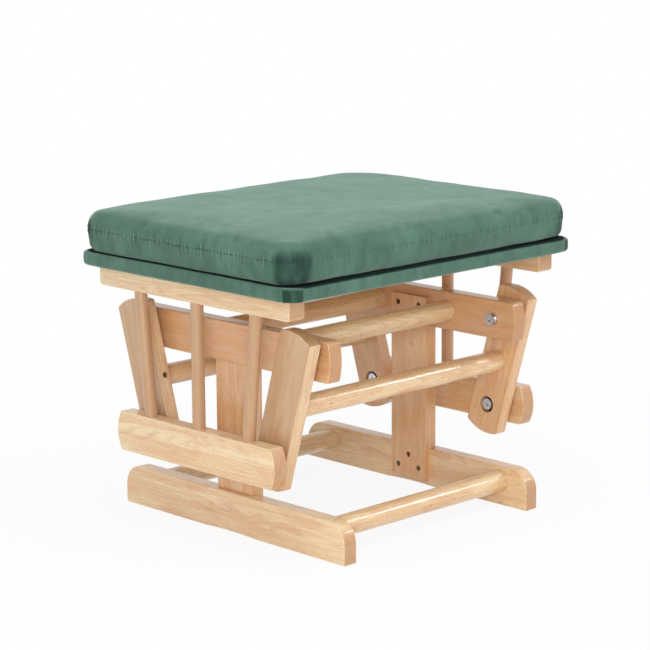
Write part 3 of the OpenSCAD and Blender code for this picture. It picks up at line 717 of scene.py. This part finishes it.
def pleated(point, outward):
    """Waves the cloth near the board's edges, and draws the pleats in, deepest at the bottom."""
    if max(abs(point.x) - half_x, abs(point.y) - half_y) < -edge_zone:
        return point
    inward = -0.0003 * noise.noise(point * 24)
    corner_x = abs(point.x) - half_x + cover_corner
    corner_y = abs(point.y) - half_y + cover_corner
    if corner_x > 0 and corner_y > 0:
        turn = math.atan2(corner_y, corner_x) - math.pi / 4
        low_share = min(1, (cover_high.z - point.z) / pleat_fade)
        for place, depth in pleats:
            inward += depth * low_share * math.exp(-((turn - place) / pleat_width) ** 2)
    return point - outward * inward


reshape(cover, pleated)

# Underneath, the cloth ends in a straight edge and leaves the middle of the board bare.
select_only(cover)
choose(cover, "FACE", lambda face: face.normal.z < -0.9
       and abs(face.center.x) < half_x - cover_return
       and abs(face.center.y) < half_y - cover_return)
bpy.ops.object.mode_set(mode="EDIT")
bpy.ops.mesh.delete(type="FACE")
bpy.ops.object.mode_set(mode="OBJECT")
bpy.ops.object.modifier_add(type="SOLIDIFY")
cover.modifiers[-1].thickness = cover_thick
cover.modifiers[-1].offset = -1
bpy.ops.object.modifier_apply(modifier=cover.modifiers[-1].name)
cover.data.materials.append(microfibre)
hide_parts("board_cover")
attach(cover, "seat")


# ---- Cushion ----
# A loose box cushion on the board: a foam block wrapped in wadding, in a cover of the same
# microfibre. The cover is two cloths joined half way up the side by one seam, which gathers
# them into short puckers, and the foam keeps the upper edge crisp.

def open_cell_foam():
    """Upholstery foam: cream coloured, matt, with open pores drawn 1.1 mm wide."""
    material = bpy.data.materials.new("cream_open_cell_foam")
    material.use_nodes = True
    tree = material.node_tree
    tree.nodes.clear()
    place = add_node(tree, "TexCoord")
    cells = add_node(tree, "TexVoronoi", {"Vector": place.outputs["Object"], "Scale": 900.0})
    shade = add_node(tree, "Mix", {0: cells, 6: colour("#D9C78F"), 7: colour("#EFE3B8")},
                     data_type="RGBA")
    pores = add_node(tree, "Bump", {"Strength": 0.6, "Distance": 0.0006, "Height": cells})
    foam = add_node(tree, "BsdfPrincipled", {"Base Color": shade, "Roughness": 0.95,
                                             "Normal": pores})
    add_node(tree, "OutputMaterial", {0: foam})
    return material


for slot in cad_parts["cushion_foam"].material_slots:
    slot.material = open_cell_foam()

cushion_swell = 0.010
cushion_corner = 0.034
cushion_bend = (cushion_high.x - cushion_corner, cushion_high.y - cushion_corner)
crown = 0.0045
rim_drop = 0.0045
top_edge, bottom_edge = 0.015, 0.009
lift = Vector((0, 0, 0.0004))
cushion = rounded_slab("cushion_cover", cushion_low + lift,
                       cushion_high - Vector((0, 0, crown + rim_drop)), cushion_corner,
                       top_edge, bottom_edge)
cushion.data.remesh_voxel_size = 0.0055
select_only(cushion)
bpy.ops.object.voxel_remesh()
plump(cushion, pressure=0.6, outward_cap=cushion_swell, inward_cap=0.0008)


def divide(piece, wanted):
    """Divides the chosen faces of the upright sides in four."""
    select_only(piece)
    choose(piece, "FACE", lambda face: abs(face.normal.z) < 0.6 and wanted(face.center))
    bpy.ops.object.mode_set(mode="EDIT")
    bpy.ops.mesh.subdivide(number_cuts=1, smoothness=0)
    bpy.ops.object.mode_set(mode="OBJECT")


def past_corner(point):
    """How far round its corner a point of the cushion lies, in radians from the corner's
    middle, or None where it isn't on a corner."""
    side_x, side_y = abs(point.x) - cushion_bend[0], abs(point.y) - cushion_bend[1]
    if min(side_x, side_y) <= 0:
        return None
    return math.atan2(side_y, side_x) - math.pi / 4


divide(cushion, lambda point: past_corner(point) is not None)
divide(cushion, lambda point: abs(point.z - seam_z) < 0.011 and past_corner(point) is None)
divide(cushion, lambda point: abs(point.z - seam_z) < 0.0055)

# Each corner fold has its angle, as a pleat does, its depth, and 1 above the seam or -1 below.
corner_folds = ((-0.58, 0.0009, 1), (-0.33, 0.0016, 1), (-0.12, 0.0011, -1), (0.05, 0.0018, 1),
                (0.2, 0.0013, -1), (0.41, 0.0015, 1), (0.63, 0.0008, -1))
fold_width = 0.05
fold_height, fold_reach = 0.006, 0.017
groove_depth, groove_width = 0.0007, 0.0011
bulge_depth, bulge_width = 0.0016, 0.013
gather_depth = 0.0016
ripple_depth = 0.0007
curl_front, curl_side, curl_width = 0.0040, 0.0010, 0.05
settling = 0.0025
corner_fall, corner_zone, corner_height = 0.0025, 0.07, 0.022


def seamed(point, outward):
    """Draws the seam in, gathers the cloth along it, and keeps the underside on the board."""
    upright = 1 - min(1, abs(outward.z) * 1.6)
    inward = -0.0011 * noise.noise(point * 21)
    if upright > 0:
        along = Vector((point.x, point.y, 0))
        height = point.z - seam_z
        gather = noise.noise(along * 210) + 0.6 * noise.noise(along * 450)
        reach = max(0.002, 0.006 + 0.006 * noise.noise(along * 130))
        inward += upright * (
            groove_depth * math.exp(-(height / groove_width) ** 2)
            - bulge_depth * math.exp(-(height / bulge_width) ** 2)
            + gather_depth * (0.45 + 0.55 * abs(outward.x)) * gather
            * math.exp(-(height / reach) ** 2)
            + ripple_depth * noise.noise(Vector((point.x * 70, point.y * 70, point.z * 14))))
        turn = past_corner(point)
        if turn is not None:
            for place, depth, side in corner_folds:
                share = max(0, 1 - abs(height - side * fold_height) / fold_reach)
                inward += (upright * depth * share
                           * math.exp(-((turn - place) / fold_width) ** 2))
    place = point - outward * inward

    # The lower edge settles flat on the board, and curls up off it at the front and back.
    below = max(0, 1 - (place.z - rest_z) / (seam_z - rest_z))
    curl = max(curl_side * max(0, 1 - (cushion_high.x - abs(point.x)) / curl_width) ** 2,
               curl_front * max(0, 1 - (cushion_high.y - abs(point.y)) / curl_width) ** 2)
    place.z += (curl - settling) * below

    # The corners are less full than the middle, so that the top falls off towards them.
    near = [max(0, min(1, 1 - (half - abs(at)) / corner_zone))
            for at, half in ((point.x, cushion_high.x), (point.y, cushion_high.y))]
    fall = near[0] ** 1.5 * near[1] ** 1.5 * max(0, place.z - seam_z) / corner_height
    place.z = max(place.z - corner_fall * fall, rest_z + 0.0002)
    return place


reshape(cushion, seamed)
cushion.data.materials.append(microfibre)
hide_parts("cushion")
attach(cushion, "seat")
